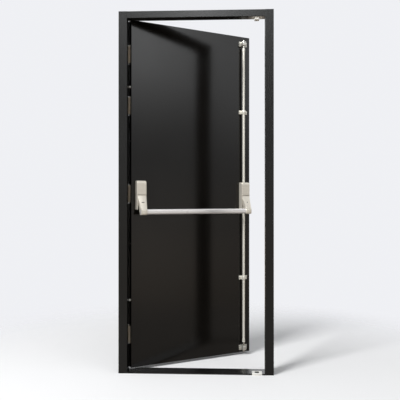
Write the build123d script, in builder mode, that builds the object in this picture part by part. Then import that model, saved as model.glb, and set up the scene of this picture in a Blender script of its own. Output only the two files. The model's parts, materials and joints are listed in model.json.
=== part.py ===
from build123d import *
from math import cos, radians, sin
import os

# Steel fire exit door in its frame, seen from the inside: X right, Y outwards, Z up.
# The origin is at the bottom centre of the frame, at the middle of its depth.
# The leaf stands open, so its pieces are drawn on planes turned about the hinge line.

# Frame
frame_width = 895.0
frame_height = 2095.0
frame_depth = 95.0
frame_sheet = 1.5
jamb_face = 50.0
jamb_stop = 15.0
head_face = 40.0
head_stop = 12.0
stop_depth = 45.0
return_lip = 15.0
bend_radius = 2.0
threshold_height = 8.0
threshold_wall = 1.8
threshold_cells = 3
seal_width = 12.0
seal_play = 0.3
fixing_hole_radius = 5.0
fixings_from_bottom = (100.0, 800.0)
fixings_from_top = (105.0, 795.0)

# Leaf
side_gap = 3.0
top_gap = 4.0
bottom_gap = 8.0
seal_gap = 2.0
leaf_sheet = 1.5
inner_tray_depth = 8.0
edge_radius = 2.0
channel_flange = 30.0
open_angle = 30.0

# Hinges
hinge_from_bottom = 205.0
hinges_from_top = (1055.0, 531.0, 227.0)
hinge_length = 102.0
hinge_flap_width = 30.0
hinge_stand_off = 7.0
knuckle_count = 5
knuckle_radius = 6.5
hinge_pin_radius = 3.5
pin_cap_radius = 5.5
pin_cap_height = 2.0
hinge_plate_thickness = 4.0
hinge_plate_width = 27.5
hinge_plate_margin = 8.0
hinge_screw_pitch = 34.0
running_fit = 0.05
knuckle_play = 0.3
window_play = 0.3

# Screws
screw_radius = 2.4
screw_head_radius = 4.2
pan_head_radius = 4.0
pan_head_height = 2.0
strike_head_height = 1.0
screw_play = 0.05

# Edge furniture on the hinge side of the leaf
dog_bolt_from_bottom = 413.0
dog_bolt_from_top = 425.0
dog_bolt_radius = 6.0
dog_bolt_reach = 9.0
dog_bolt_nose = 2.0
dog_bolt_collar_radius = 9.0
dog_bolt_collar = 3.0
dog_bolt_tail = 8.0
dog_bolt_inset = 15.0
dog_socket_radius = 9.0
plug_from_ends = 745.0
plug_radius = 5.0
plug_rim_radius = 5.8
plug_rim = 1.0
plug_length = 6.0

# Push-bar device
housing_width = 58.0
housing_depth = 36.0
housing_height = 170.0
housing_wall = 2.5
housing_drop = 78.0
housing_corner_radius = 8.0
housing_nose_radius = 16.0
housing_edge_radius = 2.5
housing_top_wall = 5.0
inactive_housing_inset = 53.5
active_housing_inset = 49.5
backplate_thickness = 3.0
backplate_play = 0.3
backplate_inset = 2.0
backplate_screw_spread = 18.0
backplate_screw_low = 18.0
backplate_screw_high = 20.0
pivot_height = 1025.0
pivot_stand_off = 20.0
pivot_pin_radius = 4.0
ear_thickness = 2.5
ear_radius = 9.0
ear_foot = 27.0
ear_spread = 17.0
arm_top_width = 51.0
arm_end_width = 37.0
arm_wall = 4.0
arm_end_wall = 1.5
arm_web = 5.0
arm_web_lean = 3.0
arm_end_web = 14.0
arm_floor = 5.0
arm_relief = 1.0
arm_hub_radius = 14.0
arm_front_play = 9.0
bar_drop = 92.0
bar_lead = 42.0
bar_height = 31.0
bar_depth = 20.0
bar_wall = 2.0
bar_fit = 0.15
socket_wall = 3.0
cap_thickness = 2.0
cap_plug = 8.0
cap_play = 0.2

# Vertical rods, bolts and their guides
rod_offset = 8.0
rod_stand_off = 22.0
rod_radius = 7.5
rod_bore = 5.5
rod_hole_play = 0.5
collar_radius = 9.0
collar_length = 22.0
collar_edge = 1.0
bolt_radius = 6.0
bolt_spigot_length = 18.0
bolt_nose = 3.0
upper_tip_gap = 2.0
lower_tip_gap = 10.0
upper_collar_gap = 15.0
lower_collar_gap = 22.0
carrier_width = 18.0
carrier_depth = 20.0
carrier_length = 30.0
carrier_floor = 5.0
carrier_gap = 20.0
guide_from_bottom = 501.0
guide_from_top = 524.0
guide_length = 60.0
guide_height = 24.0
guide_wall = 3.0
pad_thickness = 3.0
pad_margin = 2.5
bracket_length = 58.0
bracket_height = 32.0
bracket_boss_height = 28.0
bracket_boss_left = 11.0
bracket_boss_right = 14.0
bracket_boss_corner = 5.5
upper_bracket_inset = 49.0
lower_bracket_inset = 32.0

# Strikes
strike_width = 57.0
strike_depth = 40.0
strike_corner = 3.0
strike_base = 2.0
strike_screw_spread = 20.0
top_strike_drop = 15.5
strike_box_width = 27.0
strike_box_margin = 3.0
strike_box_corner = 5.0
bolt_hole_play = 3.0
bottom_strike_thickness = 3.0
bottom_strike_nose = 8.0
bottom_strike_shoulder = 2.0
bottom_strike_edge = 1.5
slot_width = 25.0
slot_length = 35.0
slot_margin = 1.5

# How far cutting shapes pass through the face that they open
overshoot = 1.0

# Sizes that follow from the ones above
half_width = frame_width / 2
half_depth = frame_depth / 2
rebate_face = jamb_face - jamb_stop
rebate_x = half_width - rebate_face
stop_x = half_width - jamb_face
stop_back = -half_depth + stop_depth
seal_thickness = seal_gap - seal_play
leaf_thickness = frame_depth - stop_depth - seal_gap
head_rebate = frame_height - head_face + head_stop
soffit = frame_height - head_face
axis_x = -rebate_x + side_gap / 2
axis_y = half_depth + hinge_stand_off
leaf_near = side_gap / 2
leaf_far = 2 * rebate_x - side_gap * 1.5
leaf_width = leaf_far - leaf_near
leaf_bottom = threshold_height + bottom_gap
leaf_top = head_rebate - top_gap
leaf_height = leaf_top - leaf_bottom
outer_v = -hinge_stand_off
inner_v = outer_v - leaf_thickness
flap_thickness = 2 * leaf_sheet
knuckle_pitch = hinge_length / knuckle_count
flap_v = outer_v - hinge_flap_width / 2
rod_v = inner_v - rod_stand_off
pivot_v = inner_v - pivot_stand_off
front_v = inner_v - housing_depth
fixing_heights = [*fixings_from_bottom, *[frame_height - drop for drop in fixings_from_top]]
hinge_heights = [hinge_from_bottom, *[frame_height - drop for drop in hinges_from_top]]
dog_bolt_heights = [dog_bolt_from_bottom, frame_height - dog_bolt_from_top]
plug_heights = [plug_from_ends, frame_height - plug_from_ends]
guide_heights = [guide_from_bottom, frame_height - guide_from_top]
upper_bracket_height = leaf_top - upper_bracket_inset
lower_bracket_height = leaf_bottom + lower_bracket_inset
upper_collar_end = upper_bracket_height - bracket_height / 2 - upper_collar_gap
lower_collar_end = lower_bracket_height + bracket_height / 2 + lower_collar_gap
upper_tip = soffit - top_strike_drop - upper_tip_gap
lower_tip = threshold_height + bottom_strike_thickness + lower_tip_gap
inactive_housing_u = leaf_near + inactive_housing_inset
active_housing_u = leaf_far - active_housing_inset
rod_u = active_housing_u - rod_offset
housing_bottom = pivot_height - housing_drop
housing_top = housing_bottom + housing_height
bar_v = pivot_v - bar_lead
bar_z = pivot_height - bar_drop
skin_back_v = inner_v + leaf_sheet
closed_rod_x = axis_x + rod_u
closed_rod_y = axis_y + rod_v
channel_near = leaf_near + leaf_sheet
channel_far = leaf_far - leaf_sheet
channel_in_v = skin_back_v
channel_out_v = outer_v - leaf_sheet
channel_depth = channel_out_v - channel_in_v
mid_v = (channel_in_v + channel_out_v) / 2
cavity_bottom = leaf_bottom + leaf_sheet
cavity_top = leaf_top - leaf_sheet

# Planes of the frame and of the open leaf
along = Vector(cos(radians(open_angle)), sin(radians(open_angle)), 0)
outward = Vector(-sin(radians(open_angle)), cos(radians(open_angle)), 0)
hinge_line = Vector(axis_x, axis_y, 0)
leaf_base = Plane(origin=hinge_line, x_dir=along, z_dir=(0, 0, 1))
frame_base = Plane(origin=hinge_line, x_dir=(1, 0, 0), z_dir=(0, 0, 1))


def level(z):
    """Level plane of the leaf: x along the leaf from the hinge line, y outwards."""
    return leaf_base.offset(z)


def face(v):
    """Upright plane along the leaf: x along the leaf, y up, extruded towards the inside."""
    return Plane(origin=hinge_line + outward * v, x_dir=along, z_dir=-outward)


def section(u):
    """Upright plane across the leaf: x outwards, y up, extruded along the leaf."""
    return Plane(origin=hinge_line + along * u, x_dir=outward, z_dir=along)


def spots(plane, points):
    """Places on a plane, each with its own z along the plane's normal."""
    return [plane.location * Location(point) for point in points]


def save(piece, name):
    """Label one finished piece and write it."""
    piece.part.label = name
    export_step(piece.part, f"parts/{name}.step")


os.makedirs("parts", exist_ok=True)

# Screws, drawn once with the underside of the head on the XY plane and copied into place
countersink = screw_head_radius - screw_radius
with BuildPart() as flap_screw:
    with BuildSketch(Plane.XZ):
        with BuildLine():
            Polyline(
                (0, 0),
                (screw_head_radius, 0),
                (screw_radius, -countersink),
                (screw_radius, -flap_thickness - hinge_plate_thickness),
                (0, -flap_thickness - hinge_plate_thickness),
                close=True,
            )
        make_face()
    revolve(axis=Axis.Z)

with BuildPart() as plate_screw:
    with BuildSketch(Plane.XZ):
        with BuildLine():
            Line((0, -pad_thickness - leaf_sheet), (0, pan_head_height))
            ThreePointArc(
                (0, pan_head_height),
                (pan_head_radius * 0.75, pan_head_height * 0.75),
                (pan_head_radius, 0),
            )
            Polyline(
                (pan_head_radius, 0),
                (screw_radius, 0),
                (screw_radius, -pad_thickness - leaf_sheet),
                (0, -pad_thickness - leaf_sheet),
            )
        make_face()
    revolve(axis=Axis.Z)


def copy_screws(screw, places):
    """One node's worth of a screw, as separate solids."""
    with BuildPart() as group:
        with Locations(*places):
            add(screw.part)
    return group


# Jambs: one folded sheet each, open towards the wall, with the stop and the rebate
def jamb(side):
    """Jamb at side -1 (hinges) or 1 (lock), with its fixing holes."""
    wall_x = side * half_width
    with BuildPart() as piece:
        with BuildSketch(Plane.XY):
            with BuildLine():
                Polyline(
                    (wall_x, -half_depth),
                    (side * stop_x, -half_depth),
                    (side * stop_x, stop_back),
                    (side * rebate_x, stop_back),
                    (side * rebate_x, half_depth),
                    (wall_x, half_depth),
                    close=True,
                )
            make_face()
            fillet(vertices().sort_by_distance((side * rebate_x, stop_back))[1:], bend_radius)
            offset(amount=-frame_sheet, mode=Mode.SUBTRACT)
            with Locations((wall_x, 0)):
                Rectangle(3 * frame_sheet, frame_depth - 2 * return_lip, mode=Mode.SUBTRACT)
        extrude(amount=frame_height)
        web = Plane(origin=(side * rebate_x, (stop_back + half_depth) / 2, 0), x_dir=(0, 1, 0), z_dir=(1, 0, 0))
        with Locations(*spots(web, [(0, z, 0) for z in fixing_heights])):
            Cylinder(fixing_hole_radius, 4 * frame_sheet, mode=Mode.SUBTRACT)
        if side < 0:
            flap_mid = half_depth - hinge_flap_width / 2
            with Locations(*[(-rebate_x, flap_mid, z) for z in hinge_heights]):
                Box(
                    2 * (flap_thickness + window_play),
                    hinge_flap_width + 2 * window_play,
                    hinge_length + 2 * window_play,
                    mode=Mode.SUBTRACT,
                )
            with Locations(*spots(frame_base, [(0, inner_v + dog_bolt_inset, z) for z in dog_bolt_heights])):
                Cylinder(dog_socket_radius, 4 * frame_sheet, rotation=(0, 90, 0), mode=Mode.SUBTRACT)
    return piece


hinge_jamb = jamb(-1)
save(hinge_jamb, "hinge_jamb")
lock_jamb = jamb(1)
save(lock_jamb, "lock_jamb")

# Head: the same folded section, fitted between the jambs
with BuildPart() as frame_head:
    with BuildSketch(Plane.YZ.offset(-rebate_x)):
        with BuildLine():
            Polyline(
                (-half_depth, frame_height),
                (-half_depth, soffit),
                (stop_back, soffit),
                (stop_back, head_rebate),
                (half_depth, head_rebate),
                (half_depth, frame_height),
                close=True,
            )
        make_face()
        fillet(vertices().sort_by_distance((stop_back, head_rebate))[1:], bend_radius)
        offset(amount=-frame_sheet, mode=Mode.SUBTRACT)
        with Locations((0, frame_height)):
            Rectangle(frame_depth - 2 * return_lip, 3 * frame_sheet, mode=Mode.SUBTRACT)
    extrude(amount=2 * rebate_x)
    for side in (-1, 1):
        with Locations((side * (stop_x + jamb_stop / 2), -half_depth + stop_depth / 2, frame_height)):
            Box(jamb_stop, stop_depth, 4 * head_face, mode=Mode.SUBTRACT)
save(frame_head, "frame_head")

# Threshold: a low hollow plate with a flat underside
with BuildPart() as threshold:
    with BuildSketch(Plane.YZ.offset(-rebate_x)):
        with Locations((0, threshold_height / 2)):
            Rectangle(frame_depth, threshold_height)
            cell_pitch = (frame_depth - threshold_wall) / threshold_cells
            with GridLocations(cell_pitch, 0, threshold_cells, 1):
                Rectangle(
                    cell_pitch - threshold_wall,
                    threshold_height - 2 * threshold_wall,
                    mode=Mode.SUBTRACT,
                )
    extrude(amount=2 * rebate_x)
    for side in (-1, 1):
        with Locations((side * (stop_x + jamb_stop / 2), -half_depth + stop_depth / 2, 0)):
            Box(jamb_stop, stop_depth, 4 * threshold_height, mode=Mode.SUBTRACT)
    with Locations((closed_rod_x, closed_rod_y, threshold_wall + threshold_height)):
        Box(slot_width, slot_length, 2 * threshold_height, mode=Mode.SUBTRACT)
save(threshold, "threshold")

# Seal strips on the back of the stop
seal_y = stop_back + seal_thickness / 2
with BuildPart() as frame_seal:
    for side in (-1, 1):
        with Locations((side * (stop_x + jamb_stop / 2), seal_y, (threshold_height + head_rebate) / 2)):
            Box(seal_width, seal_thickness, head_rebate - threshold_height)
    head_seal_z = (soffit + head_rebate) / 2
    with Locations((0, seal_y, head_seal_z)):
        Box(2 * stop_x, seal_thickness, head_stop - (jamb_stop - seal_width))
save(frame_seal, "frame_seal")

# Top strike: a screwed base with a box that the upper bolt rises into
with BuildPart() as top_strike:
    with BuildSketch(Plane.XY.offset(soffit - strike_base)):
        with Locations((closed_rod_x, closed_rod_y)):
            RectangleRounded(strike_width, strike_depth, strike_corner)
    extrude(amount=strike_base)
    with BuildSketch(Plane.XY.offset(soffit - top_strike_drop)):
        with Locations((closed_rod_x, closed_rod_y)):
            RectangleRounded(strike_box_width, strike_depth - 2 * strike_box_margin, strike_box_corner)
    extrude(amount=top_strike_drop - strike_base)
    with BuildSketch(Plane.XY.offset(soffit - top_strike_drop)):
        with Locations((closed_rod_x, closed_rod_y)):
            Circle(bolt_radius + bolt_hole_play)
    extrude(amount=top_strike_drop, mode=Mode.SUBTRACT)
    for side in (-1, 1):
        with Locations((closed_rod_x + side * strike_screw_spread, closed_rod_y, soffit)):
            Cylinder(screw_radius + screw_play, 4 * strike_base, mode=Mode.SUBTRACT)
save(top_strike, "top_strike")

# Bottom strike: a plate over the threshold with a round nose in front of it
left = closed_rod_x - strike_width / 2
right = closed_rod_x + strike_width / 2
shoulder = -half_depth - bottom_strike_shoulder
nose_y = -half_depth - bottom_strike_nose
strike_back = closed_rod_y + slot_length / 2 + slot_margin
with BuildPart() as bottom_strike:
    with BuildSketch(Plane.XY.offset(threshold_height)):
        with BuildLine():
            Line((left, shoulder), (left, strike_back))
            Line((left, strike_back), (right, strike_back))
            Line((right, strike_back), (right, shoulder))
            ThreePointArc((right, shoulder), (closed_rod_x, nose_y), (left, shoulder))
        make_face()
        with Locations((closed_rod_x, closed_rod_y)):
            Rectangle(slot_width, slot_length, mode=Mode.SUBTRACT)
    extrude(amount=bottom_strike_thickness)
    with BuildSketch(Plane.XY):
        with BuildLine():
            Line((left, shoulder), (left, -half_depth))
            Line((left, -half_depth), (right, -half_depth))
            Line((right, -half_depth), (right, shoulder))
            ThreePointArc((right, shoulder), (closed_rod_x, nose_y), (left, shoulder))
        make_face()
    extrude(amount=threshold_height)
    top_edges = edges().filter_by(Plane.XY).group_by(Axis.Z)[-1].sort_by(Axis.Y)[:1]
    fillet(top_edges, bottom_strike_edge)
    for side in (-1, 1):
        with Locations((closed_rod_x + side * strike_screw_spread, closed_rod_y, threshold_height)):
            Cylinder(screw_radius + screw_play, 4 * bottom_strike_thickness, mode=Mode.SUBTRACT)
save(bottom_strike, "bottom_strike")

strike_places = []
for side in (-1, 1):
    screw_x = closed_rod_x + side * strike_screw_spread
    strike_places.append(Location((screw_x, closed_rod_y, threshold_height + bottom_strike_thickness)))
    strike_places.append(Location((screw_x, closed_rod_y, soffit - strike_base), (180, 0, 0)))
with BuildPart() as strike_screw:
    Cylinder(screw_radius, strike_base, align=(Align.CENTER, Align.CENTER, Align.MAX))
    Cylinder(pan_head_radius, strike_head_height, align=(Align.CENTER, Align.CENTER, Align.MIN))
strike_screws = copy_screws(strike_screw, strike_places)
save(strike_screws, "strike_screws")


# Butt hinges: two flaps with interleaved knuckles on one pin
def hinge_flap(base, direction, z_mid, own):
    """Flap on the side given by direction, with the knuckles numbered in own."""
    inner_x = direction * leaf_near
    outer_x = direction * (leaf_near + flap_thickness)
    z_low = z_mid - hinge_length / 2
    other = [i for i in range(knuckle_count) if i not in own]
    with BuildPart() as flap:
        with BuildSketch(base.offset(z_low)):
            with Locations(((inner_x + outer_x) / 2, (outer_v - hinge_flap_width) / 2)):
                Rectangle(flap_thickness, hinge_flap_width + hinge_stand_off)
        extrude(amount=hinge_length)
        for i in other:
            with Locations(*spots(base, [(0, 0, z_low + (i + 0.5) * knuckle_pitch)])):
                Cylinder(knuckle_radius + knuckle_play, knuckle_pitch, mode=Mode.SUBTRACT)
        for i in own:
            with Locations(*spots(base, [(0, 0, z_low + (i + 0.5) * knuckle_pitch)])):
                Cylinder(knuckle_radius, knuckle_pitch - knuckle_play)
        with Locations(*spots(base, [(0, 0, z_mid)])):
            Cylinder(hinge_pin_radius + running_fit, 2 * hinge_length, mode=Mode.SUBTRACT)
        with Locations(*screw_places(base, direction, z_mid)):
            CounterSinkHole(screw_radius + screw_play, screw_head_radius + screw_play, 2 * flap_thickness, 90)
    return flap


def screw_places(base, direction, z_mid):
    """Places of a flap's screws, on its visible face."""
    spot_plane = Plane(
        origin=base.from_local_coords((direction * leaf_near, flap_v, z_mid)),
        x_dir=base.y_dir,
        z_dir=base.x_dir * -direction,
    )
    return spots(spot_plane, [(0, k * hinge_screw_pitch, 0) for k in (-1, 0, 1)])


def backing_plate(base, direction, z_mid, near, pocket):
    """Threaded plate behind a flap, with a seat of the given depth for it."""
    height = hinge_length + 2 * hinge_plate_margin
    middle_v = flap_v - hinge_plate_margin / 2
    with BuildPart() as plate:
        with BuildSketch(base.offset(z_mid - height / 2)):
            middle = direction * (near + (hinge_plate_thickness + pocket) / 2)
            with Locations((middle, middle_v)):
                Rectangle(hinge_plate_thickness + pocket, hinge_plate_width)
        extrude(amount=height)
        if pocket > 0:
            with BuildSketch(base.offset(z_mid - hinge_length / 2 - window_play)):
                with Locations((direction * (near + pocket / 2), flap_v)):
                    Rectangle(pocket, hinge_flap_width + 2 * window_play)
            extrude(amount=hinge_length + 2 * window_play, mode=Mode.SUBTRACT)
        with Locations(*screw_places(base, direction, z_mid)):
            Cylinder(screw_radius + screw_play, 6 * hinge_plate_thickness, mode=Mode.SUBTRACT)
    return plate


frame_knuckles = [0, 2, 4]
leaf_knuckles = [1, 3]
frame_screw_places = []
leaf_screw_places = []
frame_plates = []
leaf_plates = []
for number, height in enumerate(hinge_heights, start=1):
    save(hinge_flap(frame_base, -1, height, frame_knuckles), f"hinge_{number}_frame_flap")
    save(hinge_flap(leaf_base, 1, height, leaf_knuckles), f"hinge_{number}_leaf_flap")
    with BuildPart() as hinge_pin:
        with Locations(*spots(leaf_base, [(0, 0, height)])):
            Cylinder(hinge_pin_radius, hinge_length)
        for side in (-1, 1):
            cap_z = height + side * (hinge_length + pin_cap_height) / 2
            with Locations(*spots(leaf_base, [(0, 0, cap_z)])):
                Cylinder(pin_cap_radius, pin_cap_height)
    save(hinge_pin, f"hinge_{number}_pin")
    frame_screw_places += screw_places(frame_base, -1, height)
    leaf_screw_places += screw_places(leaf_base, 1, height)
    frame_plates.append(
        backing_plate(frame_base, -1, height, leaf_near + frame_sheet, flap_thickness - frame_sheet)
    )
    leaf_plates.append(backing_plate(leaf_base, 1, height, leaf_near + flap_thickness, 0))

with BuildPart() as frame_hinge_plates:
    for plate in frame_plates:
        add(plate.part)
save(frame_hinge_plates, "frame_hinge_plates")
with BuildPart() as leaf_hinge_plates:
    for plate in leaf_plates:
        add(plate.part)
save(leaf_hinge_plates, "leaf_hinge_plates")
save(copy_screws(flap_screw, frame_screw_places), "frame_hinge_screws")
save(copy_screws(flap_screw, leaf_screw_places), "leaf_hinge_screws")

# Screws on the inside face of the leaf, as places along the leaf and up it
backplate_screws_at = []
for centre in (inactive_housing_u, active_housing_u):
    for u in (centre - backplate_screw_spread, centre + backplate_screw_spread):
        backplate_screws_at.append((u, housing_bottom + backplate_screw_low))
        backplate_screws_at.append((u, housing_top - backplate_screw_high))
pad_offset = pan_head_radius + pad_margin
guide_left = rod_u - rod_radius - guide_wall - 2 * pad_offset
pad_screws_at = []
for height in [*guide_heights, lower_bracket_height, upper_bracket_height]:
    pad_screws_at += [(guide_left + pad_offset, height), (guide_left + guide_length - pad_offset, height)]
face_screws_at = backplate_screws_at + pad_screws_at


def leaf_box(u_low, u_high, v_low, v_high, z_low, z_high, mode=Mode.ADD):
    """Box given by its corners along, across and up the leaf."""
    middle = ((u_low + u_high) / 2, (v_low + v_high) / 2, (z_low + z_high) / 2)
    with Locations(*spots(leaf_base, [middle])):
        Box(u_high - u_low, v_high - v_low, z_high - z_low, mode=mode)


# Leaf skins: two shallow trays that meet near the inside face
seam_v = inner_v + inner_tray_depth
with BuildPart() as leaf_inner_skin:
    with BuildSketch(face(seam_v)):
        with Locations(((leaf_near + leaf_far) / 2, (leaf_bottom + leaf_top) / 2)):
            Rectangle(leaf_width, leaf_height)
    extrude(amount=inner_tray_depth)
    rim = faces().sort_by(Axis(hinge_line, -outward))[-1].edges()
    fillet(rim, edge_radius)
    leaf_box(channel_near, channel_far, skin_back_v, seam_v, cavity_bottom, cavity_top, Mode.SUBTRACT)
    with Locations(*spots(face(inner_v), [(u, z, 0) for u, z in face_screws_at])):
        Cylinder(screw_radius + screw_play, 4 * leaf_sheet, mode=Mode.SUBTRACT)
save(leaf_inner_skin, "leaf_inner_skin")

with BuildPart() as leaf_outer_skin:
    with BuildSketch(face(outer_v)):
        with Locations(((leaf_near + leaf_far) / 2, (leaf_bottom + leaf_top) / 2)):
            Rectangle(leaf_width, leaf_height)
    extrude(amount=leaf_thickness - inner_tray_depth)
    rim = faces().sort_by(Axis(hinge_line, outward))[-1].edges()
    fillet(rim, edge_radius)
    leaf_box(channel_near, channel_far, seam_v, channel_out_v, cavity_bottom, cavity_top, Mode.SUBTRACT)
    for height in hinge_heights:
        leaf_box(
            0,
            leaf_near + flap_thickness,
            outer_v - hinge_flap_width - window_play,
            0,
            height - hinge_length / 2 - window_play,
            height + hinge_length / 2 + window_play,
            Mode.SUBTRACT,
        )
    edge_holes = [(z, dog_bolt_radius) for z in dog_bolt_heights] + [(z, plug_radius) for z in plug_heights]
    for height, radius in edge_holes:
        with Locations(*spots(leaf_base, [(leaf_near, inner_v + dog_bolt_inset, height)])):
            Cylinder(radius + running_fit, 4 * leaf_sheet, rotation=(0, 90, 0), mode=Mode.SUBTRACT)
save(leaf_outer_skin, "leaf_outer_skin")


# Folded channels that stiffen the four edges of the leaf
def stile(near, direction):
    """Edge channel with its web at near and its flanges along direction."""
    with BuildPart() as channel:
        with BuildSketch(level(cavity_bottom)):
            with Locations((near + direction * channel_flange / 2, mid_v)):
                Rectangle(channel_flange, channel_depth)
            with Locations((near + direction * (leaf_sheet + channel_flange) / 2, mid_v)):
                Rectangle(channel_flange - leaf_sheet, channel_depth - 2 * leaf_sheet, mode=Mode.SUBTRACT)
        extrude(amount=cavity_top - cavity_bottom)
        if direction > 0:
            for height in hinge_heights:
                leaf_box(
                    near - overshoot,
                    near + leaf_sheet,
                    outer_v - hinge_flap_width - window_play,
                    0,
                    height - hinge_length / 2 - window_play,
                    height + hinge_length / 2 + window_play,
                    Mode.SUBTRACT,
                )
            for height, radius in edge_holes:
                with Locations(*spots(leaf_base, [(near, inner_v + dog_bolt_inset, height)])):
                    Cylinder(radius + running_fit, 4 * leaf_sheet, rotation=(0, 90, 0), mode=Mode.SUBTRACT)
    return channel


save(stile(channel_near, 1), "hinge_stile")
save(stile(channel_far, -1), "lock_stile")

rail_near = channel_near + channel_flange
rail_far = channel_far - channel_flange


def rail(z_edge, direction):
    """Top or bottom channel, with its flanges pointing into the leaf."""
    with BuildPart() as channel:
        with BuildSketch(section(rail_near)):
            with Locations((mid_v, z_edge + direction * channel_flange / 2)):
                Rectangle(channel_depth, channel_flange)
            with Locations((mid_v, z_edge + direction * (channel_flange + leaf_sheet) / 2)):
                Rectangle(channel_depth - 2 * leaf_sheet, channel_flange - leaf_sheet, mode=Mode.SUBTRACT)
        extrude(amount=rail_far - rail_near)
    return channel


save(rail(cavity_bottom, 1), "bottom_rail")
save(rail(cavity_top, -1), "top_rail")

with BuildPart() as leaf_core:
    leaf_box(
        rail_near,
        rail_far,
        channel_in_v,
        channel_out_v,
        cavity_bottom + channel_flange,
        cavity_top - channel_flange,
    )
save(leaf_core, "leaf_core")

# Dog bolts and plugs in the hinge edge
web_back = channel_near + leaf_sheet
edge_v = inner_v + dog_bolt_inset
with BuildPart() as dog_bolt:
    with BuildSketch(Plane.XZ):
        with BuildLine():
            tip = leaf_near - dog_bolt_reach
            Polyline(
                (0, tip),
                (dog_bolt_radius - dog_bolt_nose, tip),
                (dog_bolt_radius, tip + dog_bolt_nose),
                (dog_bolt_radius, web_back),
                (dog_bolt_collar_radius, web_back),
                (dog_bolt_collar_radius, web_back + dog_bolt_collar),
                (dog_bolt_radius, web_back + dog_bolt_collar),
                (dog_bolt_radius, web_back + dog_bolt_collar + dog_bolt_tail),
                (0, web_back + dog_bolt_collar + dog_bolt_tail),
                close=True,
            )
        make_face()
    revolve(axis=Axis.Z)
edge_plane = Plane(origin=hinge_line, x_dir=outward, z_dir=along)
save(copy_screws(dog_bolt, spots(edge_plane, [(edge_v, z, 0) for z in dog_bolt_heights])), "dog_bolts")

with BuildPart() as plug:
    with BuildSketch(Plane.XY.offset(leaf_near - plug_rim)):
        Circle(plug_rim_radius)
    extrude(amount=plug_rim)
    with BuildSketch(Plane.XY.offset(leaf_near)):
        Circle(plug_radius)
    extrude(amount=plug_length)
save(copy_screws(plug, spots(edge_plane, [(edge_v, z, 0) for z in plug_heights])), "edge_plugs")


# Push-bar housings: backplate with two ears, pivot pin, and a cover open towards the arm
def backplate(centre):
    """Plate on the leaf with the two ears that carry the pivot pin."""
    width = housing_width - 2 * (housing_wall + backplate_play)
    low = housing_bottom + backplate_inset
    high = housing_top - housing_top_wall - backplate_inset
    with BuildPart() as plate:
        leaf_box(centre - width / 2, centre + width / 2, inner_v - backplate_thickness, inner_v, low, high)
        for side in (-1, 1):
            ear_u = centre + side * (ear_spread + ear_thickness / 2) - ear_thickness / 2
            with BuildSketch(section(ear_u)):
                with Locations((pivot_v, pivot_height)):
                    Circle(ear_radius)
                with Locations((inner_v - backplate_thickness / 2, pivot_height)):
                    Rectangle(backplate_thickness, ear_foot)
                make_hull()
            extrude(amount=ear_thickness)
        with Locations(*[section(centre).location * Location((pivot_v, pivot_height, 0))]):
            Cylinder(pivot_pin_radius + running_fit, housing_width, mode=Mode.SUBTRACT)
        places = [(u, z, 0) for u, z in backplate_screws_at if abs(u - centre) < housing_width]
        with Locations(*spots(face(inner_v), places)):
            Cylinder(screw_radius + screw_play, 4 * backplate_thickness, mode=Mode.SUBTRACT)
    return plate


def cover(centre, rod_hole):
    """Cover shell with a rounded brow, open at the back, at the bottom and over the arm."""
    left_u = centre - housing_width / 2
    inner_width = housing_width - 2 * housing_wall
    with BuildPart() as shell:
        with BuildSketch(section(left_u)):
            with BuildLine():
                Polyline(
                    (inner_v, housing_bottom),
                    (front_v, housing_bottom),
                    (front_v, housing_top),
                    (inner_v, housing_top),
                    close=True,
                )
            make_face()
            fillet(vertices().sort_by(Axis.Y)[-2:].sort_by(Axis.X)[:1], housing_nose_radius)
        extrude(amount=housing_width)
        upright = shell.edges().filter_by(Axis.Z).sort_by(Axis(hinge_line, -outward))[-2:]
        fillet(upright, housing_edge_radius)
        with BuildSketch(face(inner_v)):
            with Locations((centre, housing_bottom + housing_height / 2)):
                RectangleRounded(housing_width, housing_height, housing_corner_radius)
            with Locations((centre, housing_bottom)):
                Rectangle(housing_width, 4 * housing_corner_radius)
        extrude(amount=2 * housing_depth, both=True, mode=Mode.INTERSECT)
        with BuildSketch(section(centre - inner_width / 2)):
            with BuildLine():
                Polyline(
                    (inner_v, housing_bottom),
                    (front_v + housing_wall, housing_bottom),
                    (front_v + housing_wall, housing_top - housing_top_wall),
                    (inner_v, housing_top - housing_top_wall),
                    close=True,
                )
            make_face()
            fillet(vertices().sort_by(Axis.Y)[-2:].sort_by(Axis.X)[:1], housing_nose_radius - housing_wall)
        extrude(amount=inner_width, mode=Mode.SUBTRACT)
        leaf_box(
            centre - inner_width / 2,
            centre + inner_width / 2,
            front_v - overshoot,
            front_v + housing_wall,
            housing_bottom,
            pivot_height + arm_front_play,
            Mode.SUBTRACT,
        )
        if rod_hole:
            with Locations(*spots(leaf_base, [(rod_u, rod_v, housing_top)])):
                Cylinder(rod_radius + rod_hole_play, 4 * housing_top_wall, mode=Mode.SUBTRACT)
    return shell


def pivot_pin(centre):
    """Pin through the ears and the arm, held between the cover's sides."""
    width = housing_width - 2 * (housing_wall + backplate_play)
    with BuildPart() as pin:
        with Locations(*[section(centre).location * Location((pivot_v, pivot_height, 0))]):
            Cylinder(pivot_pin_radius, width)
    return pin


save(backplate(inactive_housing_u), "inactive_backplate")
save(backplate(active_housing_u), "active_backplate")
save(cover(inactive_housing_u, False), "inactive_cover")
save(cover(active_housing_u, True), "active_cover")
save(pivot_pin(inactive_housing_u), "inactive_pivot_pin")
save(pivot_pin(active_housing_u), "active_pivot_pin")

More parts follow.
